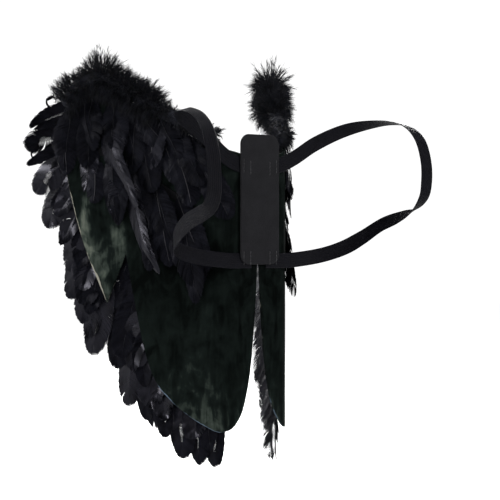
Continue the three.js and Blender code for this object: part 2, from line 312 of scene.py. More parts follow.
def distance_to_line(points, line):
    """Shortest distances from flat points to a line of straight stretches."""
    start, run = line[:-1], line[1:] - line[:-1]
    share = ((points[:, None] - start) * run).sum(2) / np.maximum((run * run).sum(1), TINY)
    nearest = start + np.clip(share, 0, 1)[..., None] * run
    return np.linalg.norm(points[:, None] - nearest, axis=2).min(1)


def patches(out, up, table):
    """Soft patches added up over the flat board."""
    total = np.zeros(out.shape)
    for patch_out, patch_up, reach_out, reach_up, strength in table:
        away = ((out - patch_out) / reach_out) ** 2 + ((up - patch_up) / reach_up) ** 2
        total += strength * np.exp(-away)
    return total


def board_mesh():
    """Rings of points round the board from its root to its outer end, and its measures."""
    steps = np.arange(0, BOARD_OUTLINE[-1, 0], BOARD_COLUMN_STEP)
    columns = np.unique(np.concatenate([steps, BOARD_OUTLINE[:, 0]]))
    low = edge_heights(columns, BOARD_OUTLINE[:, 1], [NOTCH_OUT, LOBE_TIP_OUT])
    high = edge_heights(columns, BOARD_OUTLINE[:, 2], [PEAK_OUT])
    share = 0.5 - 0.5 * np.cos(np.pi * np.arange(BOARD_ROWS) / (BOARD_ROWS - 1))
    up = low[:, None] + (high - low)[:, None] * share
    out = np.repeat(columns[:, None], BOARD_ROWS, axis=1)
    rim = np.vstack([np.stack([columns, low], 1), np.stack([columns, high], 1)[::-1], [[columns[0], low[0]]]])
    margin = distance_to_line(np.stack([out.ravel(), up.ravel()], 1), rim).reshape(out.shape)
    bare_width = patches(out, up, BARE_STRETCHES) - PAINT_OVER_EDGE
    # The tone adds painted light and painted shade to the paint's own patches and smears
    tone = PAINT_BASE_TONE + patches(out, up, PALE_PATCHES_AND_PAINTED_LIGHT) - patches(out, up, DARK_SMEARS_AND_PAINTED_SHADE)

    def both_faces(values):
        return np.concatenate([values, values[:, ::-1]], axis=1)

    proud = np.concatenate([np.zeros(up.shape), np.full(up.shape, BOARD_THICKNESS)], axis=1)
    rings = on_wing(both_faces(out), both_faces(up), proud)
    place = np.stack([both_faces(out), both_faces(up), proud], axis=-1).reshape(-1, 3) / PATTERN_STEP
    measures = {
        "flat_place": place,
        "edge_margin": both_faces(margin - bare_width).ravel(),
        "paint_and_shade_tone": both_faces(tone).ravel(),
    }
    return rings, measures


board_paint_and_shade = brushed_paint_and_shade()
for side_name, side in WING_SIDES.items():
    rings, measures = board_mesh()
    board = make_piece(f"painted_board_{side_name}", side, rings, loft(rings), measures, [board_paint_and_shade])
    board.data.shade_smooth()
    board.data.set_sharp_from_angle(angle=BOARD_SHARP_ANGLE)
    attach(board, "root")
    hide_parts(f"board_{side_name}")

# Feather rows: dyed goose feathers, each sewn by its quill to a cotton tape that is stuck on the board.
# Five rows shingle the back from the outer edge in to the shoulder, and two hang on the front face.
# A feather is a quill with barbs on both sides. Neighbours lie in a low and a high layer by turns.
TAPE_WIDTH = 10
TAPE_THICKNESS = 1.4
TAPE_SEAT = 1.0
TAPE_END_MARGIN = 0.02
TAPE_STEPS = 61
TAPE_ROUNDING = 0.4
# Lie of the feathers: how they rise along the quill, lie in layers, vary, arch, wave and fall at a free end
FEATHER_RISE = 0.1
LAYER_STEP = 1.6
LAYER_RAMP = 0.3
LENGTH_VARIETY = 0.1
WIDTH_VARIETY = 0.12
AIM_VARIETY = 5
STRAY_LENGTH = (-0.015, 0.01)
FEATHER_ARCH = 3.0
WAVE_HEIGHT = 1.6
WAVE_COUNT = (1.0, 2.4)
ROLL_AT_ROOT = 0.5
LEAST_RISE = 0.1
FREE_FALL = 40
# Feathers that turn their smooth outer half to the light, those of them that are glossy,
# and glossy feathers on the front that lie turned to the light
TURNED_OUT = dict(point=0, roll=0.22, cup=-6, curl=3, waves=0.2, wave_start=0)
SHINING = dict(TURNED_OUT, glossy=True)
FRONT_SHINING = dict(roll=-0.55, glossy=True)
# What the rows at the edge, further in on the back, and on the front have in common
EDGE_ROW = dict(face=1, cup=5.0, fill=2, under=0.72, unruly=1)
BACK_ROW = dict(face=1, cup=4.5, roll=9, clear=1, fill=1, filled_from=0, under=1, stray=3, unruly=1,
                glossy=0.35)
FRONT_ROW = dict(face=-1, curl=[2, 2], roll=22, clear=1, filled_from=0, under=0.85)
# face: 1 on the back and -1 on the front; aim: degrees from straight down towards the wing's outer side at
# the root; bend: degrees turned along the feather; cup: how far the sides droop; curl: how far the tip turns
# towards the board's other face; roll: degrees that a feather may lie turned about its quill; clear: share
# of the feather from which it hangs free of the board; fill: feathers for each space between two roots, from
# the root filled_from on; under: length of those slipped in between, as a share of their neighbours';
# stray: degrees that all wander; unruly: how far the roots wander; glossy: share of the feathers that the
# dye left glossy; chosen: feathers that lie in a way of their own, by the number of their root, with roll as
# a slope, point as a share of the most that a tip narrows, and layer in steps.
# Lists are spread evenly along the row.
FEATHER_ROWS = {
    "edge_upper": dict(
        EDGE_ROW, count=10, roots=[(240, 114), (254, 76), (250, 12), (221, -88)],
        aim=[86, 64, 22, 14, 16], bend=[-30, -18, -12], length=[104, 94, 104, 128, 124],
        width=[25, 34, 40, 40], curl=[24, 13, 9], roll=14, clear=0.4, filled_from=3, stray=3, glossy=0.4,
        chosen={
            0: dict(root=(240, 116), aim=108, bend=-62, length=90, width=30),
            1: dict(aim=92, bend=-26, length=84, width=38, point=0),
            2: dict(root=(254, 79), aim=80, bend=-24, length=84, width=15),
            3: dict(SHINING, root=(255, 61), aim=80, bend=-52, length=91, width=44, roll=0.15, cup=-5),
            4: dict(SHINING, root=(256, 36), aim=58, bend=-46, length=92, width=50, roll=0.28, cup=-7,
                    curl=2),
            5: dict(TURNED_OUT, aim=23, length=102, width=46, roll=0.2, cup=-5),
            6: dict(SHINING, aim=24, length=117, width=40),
            7: dict(SHINING, length=126, width=42),
            8: dict(SHINING, roll=0.25),
            9: dict(SHINING, aim=16, width=46),
        }),
    "edge_lower": dict(
        EDGE_ROW, count=9, roots=[(178, -104), (156, -176), (112, -236), (50, -258)],
        aim=[25, 31, 22], bend=[-26, -46, -38], length=[134, 102, 100],
        width=[40, 40], curl=[8, 8], roll=12, clear=0.45, filled_from=0, stray=2, glossy=0.2,
        chosen={
            **dict.fromkeys(range(9), TURNED_OUT),
            0: dict(TURNED_OUT, width=46, cup=-4),
            5: dict(TURNED_OUT, length=93),
            6: dict(TURNED_OUT, aim=24, length=102),
            7: dict(TURNED_OUT, aim=26, length=101),
        }),
    "second": dict(
        BACK_ROW, count=12, roots=[(190, 119), (204, 55), (170, -48), (115, -138), (46, -168)],
        aim=[88, 52, 16, 10, 0], bend=[-14, -10], length=[118, 108, 128, 122, 122],
        width=[46, 37, 36], curl=[3, 3]),
    "third": dict(
        BACK_ROW, count=10, roots=[(134, 88), (146, 30), (106, -54), (40, -88)],
        aim=[104, 62, 28, 12, 2], bend=[-14, -6], length=[124, 120],
        width=[48, 38, 36], curl=[2, 2]),
    "shoulder": dict(
        BACK_ROW, count=8, roots=[(78, 60), (92, 20), (36, -12)],
        aim=[104, 62, 28, 8], bend=[-14, -4], length=[118, 112],
        width=[46, 38, 36], curl=[2, 2]),
    "front_long": dict(
        FRONT_ROW, count=8, roots=[(244, 72), (214, 60), (165, 32), (112, 0)],
        aim=[-2, -18, -24], bend=[0, 6], length=[70, 112, 142],
        width=[36, 36], cup=4.5, fill=2, stray=10, unruly=7, glossy=0.15,
        chosen={
            0: dict(aim=-6, length=64, width=30, roll=-0.15, glossy=True),
            1: dict(aim=-7, length=92, width=32),
            3: dict(FRONT_SHINING, aim=0, bend=-34, length=151, width=30),
        }),
    "front_short": dict(
        FRONT_ROW, count=9, roots=[(274, 98), (246, 134), (190, 120), (92, 68)],
        aim=[6, -6, -20], bend=[-6, 0], length=[72, 86, 96],
        width=[40, 40], cup=5.5, fill=3, stray=11, unruly=8, glossy=0.1,
        chosen={
            0: dict(aim=2, length=74, width=22),
            1: dict(aim=9, length=72, width=42),
            2: dict(aim=-4, length=80, width=40),
            3: dict(FRONT_SHINING, root=(227, 110), aim=-25, bend=-4, length=138, width=29, layer=2.5),
        }),
}
CURLED_ROW = "edge_upper"
# Loose barbs curled up at the outer end of the upper edge row, columns: out, up, proud, radius,
# degrees where the curl starts, degrees that it turns
LOOSE_CURLS = [(297, 134, -2, 8, -75, 280), (303, 146, 2, 10, 290, -120), (320, 62, 2, 9, 60, -190),
               (316, 56, 3, 6, 20, -240)]
CURL_STATIONS = np.linspace(0, 1, 16)
CURL_HALF_WIDTH = 1.6
CURL_TIP_SHARE = 0.4
CURL_TIGHTENING = 0.4
CURL_RISE = 5
CURLS_MIDDLE = (280, 100)
# Barbs: their pitch and sizes, how lengths and lie vary, and how they tilt, ripple, taper and bow
BARB_PITCH = 2.1
BARB_HALF_WIDTH = 1.25
BARB_THICKNESS = 0.3
BARB_LENGTHS = (0.94, 1.02)
BARB_LOOSENESS = 0.25
BARB_TILT = 0.14
BARB_RIPPLE = 0.26
RIPPLE_WAVES = 3
RIPPLE_LENGTHS = (3, 9)
RIPPLE_STARTS = (0, 6)
BARB_STATIONS = np.array([0, 0.4, 0.75, 1])
BARB_TAPER = np.array([0.6, 1.0, 1.0, 0.55])
BARB_BOW = 0.14
BOW_FULL_ASIDE = 3
# Columns: along the feather, share of its half width that the vane has there
VANE_OUTLINE = np.array([(0.05, 0.22), (0.12, 0.55), (0.25, 0.84), (0.45, 1.0), (0.66, 1.0), (0.82, 0.88),
                         (0.92, 0.66), (0.98, 0.34), (1.0, 0.0)])
# How far a tip may narrow and from where on, and where on the quill the barbs have their roots
TIP_NARROWING = 0.5
NARROWS_FROM = 0.4
VANE_START = 0.04
VANE_END = 0.86
BARB_LAG = 1.25
# Splits between barbs: how many, where on the rim, how far open and how far along the rim they reach
SPLITS = 2
SPLIT_PLACES = (0.08, 0.92)
SPLIT_OPENINGS = (0.1, 1)
SPLIT_GAP = 2.2
SPLIT_REACH = 7
# Quills: their sizes, lift off the vane and stations, and the stations that a feather's bent line is found at
QUILL_HALF_WIDTH = 0.75
QUILL_THICKNESS = 1.1
QUILL_TIP_SHARE = 0.3
QUILL_LIFT = 0.15
QUILL_STATIONS = np.linspace(-0.02, 0.93, 9)
QUILL_LINE = np.linspace(-0.1, 1.3, 57)
FEATHER_BLACK = (0.0008, 0.0009, 0.0013)
FEATHER_CHARCOAL = (0.0054, 0.0057, 0.0084)
# Quills: a paler shaft, lightened further by a painted highlight
QUILL_GREY_AND_GLINT = (0.060, 0.059, 0.064)
# How grey the darkest quills are, and how steeply quills get darker from the palest on; the grey is a paler
# shaft with a painted highlight
LEAST_QUILL_GLINT = 0.1
QUILL_DARKNESS = 3.0
QUILL_BARB_TONE = 0.5
# How much a barb's own tone, its feather's and the uneven dye lighten a vane
BARB_LIGHTENS = 0.45
FEATHER_LIGHTENS = 0.4
DYE_LIGHTENS = (-0.15, 0.25)
# How much the uneven dye and a barb's tone roughen it
DYE_ROUGHENS = (0.0, 0.16)
BARB_ROUGHENS = 0.1
FEATHER_GLINT = (0.84, 0.82, 1.0, 1)
FEATHER_RELIEF = 0.05
TAPE_BLACK = (0.0020, 0.0020, 0.0024)
TAPE_GREY = (0.0048, 0.0048, 0.0056)
# A row's materials by number
DULL, GLOSSY, COTTON = range(3)
# Every feather has a seed of its own, and its varied lie is scattered from that
SEEDS_A_ROW = 100
SEEDS_A_ROOT = 3
SCATTER_SPIN = 12.9898
SCATTER_STRETCH = 43758.5453
LINE_STEPS = 401
SMALLEST_SPAN = 1e-4
# Strands are three-sided: the corners of a ring, and the pairs of them that its sides join
CORNERS = 3
STRAND_EDGES = ((0, 1), (1, 2), (2, 0))


def scatter(seed, amount):
    """A repeatable scattered number from -amount to amount for each seed."""
    spun = math.sin(seed * SCATTER_SPIN) * SCATTER_STRETCH
    return (2 * (spun - math.floor(spun)) - 1) * amount


def evenly(values, share):
    """Value at a share, from 0 to 1, along evenly spaced values."""
    return float(np.interp(share * (len(values) - 1), range(len(values)), values))


def curve_through(stops, places):
    """Points on a smooth curve through stops, at places counted from 0 at the first stop."""
    stops = np.asarray(stops, float)
    padded = np.vstack([2 * stops[0] - stops[1], stops, 2 * stops[-1] - stops[-2]])
    index = np.minimum(places.astype(int), len(stops) - 2)
    share = (places - index)[:, None]
    before, start, end, after = (padded[index + step] for step in range(4))
    spans = [np.sqrt(np.linalg.norm(b - a, axis=1))[:, None]
             for a, b in ((before, start), (start, end), (end, after))]
    spans[1] = np.where(spans[1] < SMALLEST_SPAN, 1, spans[1])
    spans[0], spans[2] = (np.where(span < SMALLEST_SPAN, spans[1], span) for span in spans[::2])
    leave = (start - before) / spans[0] - (end - before) / (spans[0] + spans[1]) + (end - start) / spans[1]
    arrive = (end - start) / spans[1] - (after - start) / (spans[1] + spans[2]) + (after - end) / spans[2]
    leave, arrive = leave * spans[1], arrive * spans[1]
    return (start + leave * share + (3 * end - 3 * start - 2 * leave - arrive) * share ** 2
            + (2 * start - 2 * end + leave + arrive) * share ** 3)


def distances_along(line):
    """How far along a line each of its points lies."""
    return np.concatenate([[0], np.cumsum(np.linalg.norm(np.diff(line, axis=0), axis=1))])


def root_points(roots, shares):
    """Points at shares of a row's root line, measured along it."""
    places = np.linspace(0, len(roots) - 1, LINE_STEPS)
    reached = distances_along(curve_through(roots, places))
    return curve_through(roots, np.interp(np.asarray(shares) * reached[-1], reached, places))


def unit(vectors):
    """Vectors of length 1 that point the same way."""
    return vectors / np.maximum(np.linalg.norm(vectors, axis=-1, keepdims=True), TINY)


def rising(values, start, run):
    """0 up to start, 1 from a run further on, and even in between."""
    return np.clip((values - start) / run, 0, 1)


def strand_ways(centres, normals):
    """The ways across strands and off their faces."""
    run = unit(np.gradient(centres, axis=1))
    across = unit(np.cross(run, normals))
    return across, np.cross(across, run)


def strand_sides(rings):
    """Quads on the sides of strands, from the first corner of each ring that another ring follows."""
    after = rings + CORNERS
    quads = [np.stack([rings + a, rings + b, after + b, after + a], 1) for a, b in STRAND_EDGES]
    return np.concatenate(quads)


def strands(centres, normals, half_width, thickness, tilt=0.0):
    """Closed strands along lines of centres: their points, with sizes in metres, and faces."""
    across, facing = strand_ways(centres, normals)
    tilt = np.broadcast_to(tilt, half_width.shape)[..., None]
    leaning = across * np.cos(tilt) + facing * np.sin(tilt)
    lifted = facing * np.cos(tilt) - across * np.sin(tilt)
    wide, thick = half_width[..., None], thickness[..., None]
    points = np.stack([centres - leaning * wide, centres + leaning * wide, centres + lifted * thick], axis=2)
    count, stations = centres.shape[:2]
    first = np.arange(count) * stations * CORNERS
    last = first + (stations - 1) * CORNERS
    rings = (first[:, None] + CORNERS * np.arange(stations - 1)).ravel()
    ends = [np.stack([first + 2, first + 1, first], 1), np.stack([last, last + 1, last + 2], 1)]
    return points.reshape(-1, 3), [strand_sides(rings), np.concatenate(ends)]


class Feather:
    """The line and lie of one feather on the flat wing."""

    def __init__(self, row, root, place, seed, rng):
        share = place / (row["count"] - 1)
        self.face = row["face"]
        self.root = root + rng.normal(0, row["unruly"], 2)
        self.aim = evenly(row["aim"], share) + scatter(seed + 1, AIM_VARIETY)
        self.bend = evenly(row["bend"], share)
        self.length = evenly(row["length"], share) * (1 + scatter(seed + 2, LENGTH_VARIETY))
        self.width = evenly(row["width"], share) * (1 + scatter(seed + 3, WIDTH_VARIETY))
        self.cup = row["cup"]
        self.curl = evenly(row["curl"], share)
        self.roll = math.tan(math.radians(scatter(seed + 0.5, row["roll"])))
        self.layer = place % 2
        self.clear = row["clear"]
        self.aim += rng.normal(0, row["stray"])
        self.bend += rng.normal(0, row["stray"])
        self.length *= 1 + rng.uniform(*STRAY_LENGTH) * row["stray"]
        self.point = rng.uniform(0, 1)
        self.waves = rng.uniform(*WAVE_COUNT)
        self.wave_start = rng.uniform(0, 2 * math.pi)
        self.glossy = rng.uniform(0, 1) < row["glossy"]
        if place % 1:
            self.length *= row["under"]
        vars(self).update(row.get("chosen", {}).get(place, {}))

    def spot(self, along, across, lift):
        """Points in metres at distances along the quill, across it and lifted off the vane."""
        stops = QUILL_LINE
        heading = np.radians(self.aim + self.bend * (stops[1:] + stops[:-1]) / 2)
        step = np.diff(stops) * self.length
        outs = np.concatenate([[0], np.cumsum(step * np.sin(heading))])
        ups = np.concatenate([[0], np.cumsum(-step * np.cos(heading))])
        outs = outs + self.root[0] - np.interp(0, stops, outs)
        ups = ups + self.root[1] - np.interp(0, stops, ups)
        share = along / self.length
        turned = np.radians(self.aim + self.bend * share)
        out = np.interp(share, stops, outs) + across * np.cos(turned)
        up = np.interp(share, stops, ups) + across * np.sin(turned)
        ramp = rising(share, 0, LAYER_RAMP)
        height = FEATHER_RISE * along + self.layer * LAYER_STEP * ramp * ramp * (3 - 2 * ramp)
        side = np.abs(2 * across / self.width)
        height = height + self.roll * (ROLL_AT_ROOT + share) * across - self.cup * (side + side ** 2) / 2
        height = height + FEATHER_ARCH * np.sin(np.pi * np.clip(share, 0, 1))
        height = height + WAVE_HEIGHT * share * np.sin(2 * math.pi * self.waves * share + self.wave_start)
        height = height - self.curl * np.maximum(share, 0) ** 3 + lift
        proud = TAPE_SEAT + np.maximum(height, LEAST_RISE - FREE_FALL * np.clip(share - self.clear, 0, 1))
        return on_wing(out, up, BOARD_THICKNESS + proud if self.face > 0 else -proud)

    def strand_set(self, along, across, lift, half_width, thickness, tilt):
        """Strands of this feather through flat places, standing off the vane."""
        centres = self.spot(along, across, lift)
        normals = unit(self.spot(along, across, lift + 1.0) - centres)
        return strands(centres, normals, half_width * MM, thickness * MM, tilt)


def vane(feather, rng):
    """The barbs of a feather, whose tips run round its outline: points, faces and barb tones."""
    narrowing = TIP_NARROWING * feather.point * rising(VANE_OUTLINE[:, 0], NARROWS_FROM, 1 - NARROWS_FROM)
    edge = VANE_OUTLINE * (feather.length, feather.width / 2)
    edge[:, 1] *= 1 - narrowing
    rim = np.vstack([edge * (1, -1), edge[-2::-1]])
    reached = distances_along(rim)
    count = int(reached[-1] / BARB_PITCH)
    around = (np.arange(count) + 0.5) / count * reached[-1]
    parted = around.copy()
    for split in rng.uniform(*SPLIT_PLACES, SPLITS) * reached[-1]:
        away = around - split
        opening = np.sign(away) * rng.uniform(*SPLIT_OPENINGS) * SPLIT_GAP
        parted += opening * np.exp(-np.abs(away) / SPLIT_REACH)
    first = VANE_OUTLINE[0, 0]
    share = rising(np.interp(around, reached, rim[:, 0]) / feather.length, first, 1 - first)
    root = feather.length * (VANE_START + (VANE_END - VANE_START) * share ** BARB_LAG)
    ragged = rng.uniform(*BARB_LENGTHS, count)
    ahead = ((np.interp(parted, reached, rim[:, 0]) - root) * ragged)[:, None]
    aside = (np.interp(parted, reached, rim[:, 1]) * ragged)[:, None]
    bow = 2 * BARB_BOW * BARB_STATIONS * (1 - BARB_STATIONS)
    along = root[:, None] + ahead * BARB_STATIONS - np.abs(aside) * bow
    across = aside * BARB_STATIONS + ahead * np.clip(aside / BOW_FULL_ASIDE, -1, 1) * bow
    loose = rng.uniform(-BARB_LOOSENESS, BARB_LOOSENESS, count)[:, None] * BARB_STATIONS ** 2
    taper = BARB_TAPER * np.ones((count, 1))
    ripple = sum(np.sin(around / rng.uniform(*RIPPLE_LENGTHS) + rng.uniform(*RIPPLE_STARTS))
                 for _ in range(RIPPLE_WAVES)) * BARB_RIPPLE
    tilt = BARB_TILT * np.sign(aside) * feather.face + ripple[:, None] * BARB_STATIONS
    half_width, thickness = BARB_HALF_WIDTH * taper, BARB_THICKNESS * taper
    points, faces = feather.strand_set(along, across, loose, half_width, thickness, tilt)
    tones = np.repeat(rng.uniform(0, 1, count), len(BARB_STATIONS) * CORNERS)
    return points, faces, tones


def quill(feather):
    """The tapered quill along a feather's middle."""
    along = feather.length * QUILL_STATIONS[None]
    taper = np.linspace(1, QUILL_TIP_SHARE, len(QUILL_STATIONS))[None]
    lift = np.full(along.shape, QUILL_LIFT)
    half_width, thickness = QUILL_HALF_WIDTH * taper, QUILL_THICKNESS * taper
    return feather.strand_set(along, np.zeros(along.shape), lift, half_width, thickness, 0.0)


def loose_curls():
    """Thin barbs curled up on themselves."""
    centres = []
    for out, up, proud, radius, start, sweep in LOOSE_CURLS:
        turn = np.radians(start + sweep * CURL_STATIONS)
        tight = radius * (1 - CURL_TIGHTENING * CURL_STATIONS)
        raised = proud + CURL_RISE * CURL_STATIONS
        centres.append(on_wing(out + tight * np.cos(turn), up + tight * np.sin(turn), raised))
    centres = np.array(centres)
    normals = unit(on_wing(*CURLS_MIDDLE, 1.0) - on_wing(*CURLS_MIDDLE, 0.0)) * np.ones(centres.shape)
    taper = np.linspace(1, CURL_TIP_SHARE, len(CURL_STATIONS)) * np.ones((len(centres), 1))
    size = CURL_HALF_WIDTH * MM * taper
    return strands(centres, normals, size, size)


def tape(row):
    """The cotton tape under a row, a flat band with rounded edges."""
    line = root_points(row["roots"], np.linspace(0, 1, TAPE_STEPS))
    run = unit(np.gradient(line, axis=0))
    side = np.stack([-run[:, 1], run[:, 0]], axis=1)
    half, thick = TAPE_WIDTH / 2, TAPE_THICKNESS / 2
    flat = half - TAPE_ROUNDING
    section = np.array([(-half, 0), (-flat, -thick), (flat, -thick),
                        (half, 0), (flat, thick), (-flat, thick)])
    laid = line[:, None] + side[:, None] * section[None, :, :1]
    level = TAPE_SEAT + section[None, :, 1] * row["face"] + np.zeros((len(line), 1))
    proud = BOARD_THICKNESS + level if row["face"] > 0 else -level
    return on_wing(laid[..., 0], laid[..., 1], proud)


def row_parts(row_index, row, side):
    """The parts of a row: its tape, and each feather's vane and quill. Each part is points, faces,
    a material's number, barb tone, feather tone and how grey a quill it is, a paler shaft with a painted
    highlight."""
    band = tape(row)
    yield band.reshape(-1, 3), loft(band), COTTON, 0.0, 0.0, 0.0
    places = np.arange((row["count"] - 1) * row["fill"] + 1) / row["fill"]
    places = places[(places % 1 == 0) | (places > row["filled_from"])]
    shares = TAPE_END_MARGIN + (1 - 2 * TAPE_END_MARGIN) * places / places[-1]
    for place, root in zip(places, root_points(row["roots"], shares)):
        seed = row_index * SEEDS_A_ROW + place * SEEDS_A_ROOT
        # Twice a seed is a whole number for the feathers between two roots too
        rng = np.random.default_rng([int(seed * 2), side + 1])
        feather = Feather(row, root, place, seed, rng)
        finish = GLOSSY if feather.glossy else DULL
        feather_tone = rng.uniform(0, 1)
        points, faces, barb_tones = vane(feather, rng)
        yield points, faces, finish, barb_tones, feather_tone, 0.0
        points, faces = quill(feather)
        # A quill's grey, a paler shaft with a painted highlight, varies from feather to feather
        grey = LEAST_QUILL_GLINT + (1 - LEAST_QUILL_GLINT) * feather_tone ** QUILL_DARKNESS
        yield points, faces, finish, QUILL_BARB_TONE, feather_tone, grey


def joined(parts, labels=()):
    """One mesh's points, faces, measures and face materials from parts, with a value for each label."""
    points, faces, uses = [], [], []
    measures = {label: [] for label in labels}
    reached = 0
    for part_points, part_faces, use, *values in parts:
        points.append(part_points)
        faces += [block + reached for block in part_faces]
        uses += [use] * len(part_faces)
        for label, value in zip(labels, values):
            measures[label].append(np.broadcast_to(value, len(part_points)))
        reached += len(part_points)
    measures = {label: np.concatenate(values) for label, values in measures.items()}
    return np.concatenate(points), faces, measures, uses


def position(tree):
    """Where a point lies in the shared frame."""
    return add_node(tree, "NewGeometry").outputs["Position"]


def weigh(first, first_weight, second, second_weight):
    """Two numbers added up by their weights."""
    weighed = combine("MULTIPLY", second, second_weight)
    return combine("ADD", combine("MULTIPLY", first, first_weight), weighed)


def dyed_feather(name, gloss, smoothest):
    material, tree, surface = new_surface(name)
    place = position(tree)
    barb_tone = measure(tree, "barb_tone")
    dye = noise(place, scale=60.0, detail=4.0)
    patchy = weigh(barb_tone, BARB_LIGHTENS, measure(tree, "feather_tone"), FEATHER_LIGHTENS)
    patchy = combine("ADD", patchy, spread(dye, NOISE_MOST, DYE_LIGHTENS))
    vane_colour = blend_colours(patchy, FEATHER_BLACK, FEATHER_CHARCOAL)
    mottled = spread(noise(place, scale=40.0, detail=4.0), NOISE_MOST, DYE_ROUGHENS)
    mottled = combine("ADD", mottled, combine("MULTIPLY", barb_tone, BARB_ROUGHENS))
    set_inputs(surface, {
        # The quill grey is partly a paler shaft and partly a painted highlight
        "Base Color": blend_colours(measure(tree, "quill"), vane_colour, QUILL_GREY_AND_GLINT),
        "Roughness": combine("ADD", mottled, smoothest),
        "Specular IOR Level": gloss,
        "Specular Tint": FEATHER_GLINT,
    })
    raise_surface(surface, noise(place, scale=900.0, detail=2.0), FEATHER_RELIEF)
    return material


def spun_cotton(name, dark, pale, scale, roughness, gloss, relief):
    material, tree, surface = new_surface(name)
    fibres = noise(position(tree), scale, detail=1.0)
    set_inputs(surface, {
        "Base Color": blend_colours(fibres, dark, pale),
        "Roughness": roughness,
        "Specular IOR Level": gloss,
    })
    raise_surface(surface, fibres, relief)
    return material


row_materials = [
    dyed_feather("dull_dyed_feather", gloss=0.03, smoothest=0.30),
    dyed_feather("glossy_dyed_feather", gloss=0.15, smoothest=0.2),
    spun_cotton("black_cotton_tape", TAPE_BLACK, TAPE_GREY,
                scale=1400.0, roughness=0.85, gloss=0.05, relief=0.15),
]
for side_name, side in WING_SIDES.items():
    for row_index, (row_name, row) in enumerate(FEATHER_ROWS.items()):
        parts = list(row_parts(row_index, row, side))
        if row_name == CURLED_ROW:
            parts.append((*loose_curls(), DULL, 0.0, 0.0, 0.0))
        points, faces, measures, uses = joined(parts, ["barb_tone", "feather_tone", "quill"])
        name = f"{row_name}_plumes_{side_name}"
        plumes = make_piece(name, side, points, faces, measures, row_materials, uses)
        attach(plumes, "root")
        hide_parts(f"{row_name}_feathers_{side_name}")

# Boa: marabou down wound on a string, which is stitched along the board's top edge and fluffs out round it.
# Each plume is a soft stem with long barbs all round. They stand up highest at the wing's peak,
# and hang over the tapes on both faces.
BOA_INNER = 66
BOA_OUTER = 268
BOA_SMOOTHING = 8
BOA_SEAT = 0.8
CORE_RADIUS = 10
CORE_STEPS = 80
CORE_SIDES = 14
CORE_BUMP = 0.06
CORE_BUMPS_ROUND = 5
CORE_TWIST = 2.3
CORE_END_SHARE = 0.4
PLUME_COUNT = 1500
# Columns: out, how far the upright plumes reach out of the core there
PLUME_REACHES = np.array([(66, 2), (120, 1), (133, 1), (145, 7), (165, 14), (190, 10), (212, 11), (218, 18),
                          (226, 32), (234, 16), (248, 3), (258, 8), (268, 17)], float)
# Plumes stand closer and have longer barbs the more of this reach they have
FULL_REACH = 18
LEAST_CROWD = 0.6
CROWD_STEPS = 400
PLUME_SPREAD = math.radians(158)
PLUME_LEAN = 0.28
STEM_VARIETY = (0.7, 1.2)
STRAY_SHARE = 0.16
STRAY_REACH = 6
HANG_REACH = 13
HANG_FROM = math.radians(75)
HANG_FULL = math.radians(140)
HANG_PULL = 0.8
STEM_SAG = 2
HANG_SAG = 5
# Ends of the boa, as shares of it: plumes lean in at the inner end, and at the outer end
# they stand up and the hanging ones get shorter
INNER_END = 0.07
INNER_LEAN = 0.5
OUTER_RUN = 0.1
LIFT_FROM = 0.86
OUTER_LIFT = 0.7
TRIM_FROM = 0.9
OUTER_TRIM = 0.7
# Stems: stations along them, how they taper there and where in the core they start
STEM_STATIONS = np.array([0, 0.5, 1])
STEM_TAPER = np.array([1.5, 1.2, 0.0])
STEM_FOOT = 0.55
# Barbs on a stem: how many, where they start, and the degrees that they open to
PLUME_BARBS = 11
BARBS_FROM = 0.15
STEP_ON = 0.05
BARB_OPENING = (8, 34)
DOWN_STATIONS = np.array([0, 0.5, 1])
DOWN_TAPER = np.array([1.0, 0.7, 0.0])
DOWN_HALF_WIDTH = 0.27
DOWN_DEPTH_RATIO = 1.7
# Length of the barbs at a stem's foot and at its tip, and of those on the shortest plumes as a share
DOWN_LENGTH = (14, 9)
DOWN_VARIETY = (0.65, 1.2)
LEAST_DOWN = 0.45
# How far barbs bend on along their stem, down and any way
BEND_ON = 0.3
BEND_DOWN = 0.12
BEND_STRAY = 0.14
DOWN_BLACK = (0.0018, 0.0020, 0.0029)
DOWN_CHARCOAL = (0.0092, 0.0100, 0.0146)
DOWN_ROUGHNESS = (0.7, 0.9)
DOWN_GLOSS = 0.15
PROUD_WAY = np.array([0, 0, 1.0])
DOWN_WAY = np.array([0, -1.0, 0])
BOA_SEED = 7


def boa_places(share):
    """Middle of the boa on the flat wing, with the directions along it and away from the edge."""
    def edge(out):
        return np.stack([out, np.interp(out, BOARD_OUTLINE[:, 0], BOARD_OUTLINE[:, 2]), 0 * out], axis=-1)

    out = BOA_INNER + (BOA_OUTER - BOA_INNER) * share
    run = unit(edge(out + BOA_SMOOTHING) - edge(out - BOA_SMOOTHING))
    rise = np.stack([-run[..., 1], run[..., 0], 0 * out], axis=-1)
    centre = edge(out) + rise * (CORE_RADIUS + BOA_SEAT) + (0, 0, BOARD_THICKNESS / 2)
    return centre, run, rise


def placed(flat):
    """Flat points wrapped on the wing."""
    return on_wing(flat[..., 0], flat[..., 1], flat[..., 2])


def boa_core():
    """The wound string, a bumpy tube that the plumes hide."""
    centre, run, rise = boa_places(np.linspace(0, 1, CORE_STEPS))
    turn = 2 * np.pi * np.arange(CORE_SIDES) / CORE_SIDES
    waves = np.sin(CORE_BUMPS_ROUND * turn + CORE_TWIST * np.arange(CORE_STEPS)[:, None])
    radius = CORE_RADIUS * (1 + CORE_BUMP + CORE_BUMP * waves)
    radius[[0, -1]] *= CORE_END_SHARE
    flat = (centre[:, None] + rise[:, None] * (radius * np.cos(turn))[..., None]
            + PROUD_WAY * (radius * np.sin(turn))[..., None])
    return placed(flat)


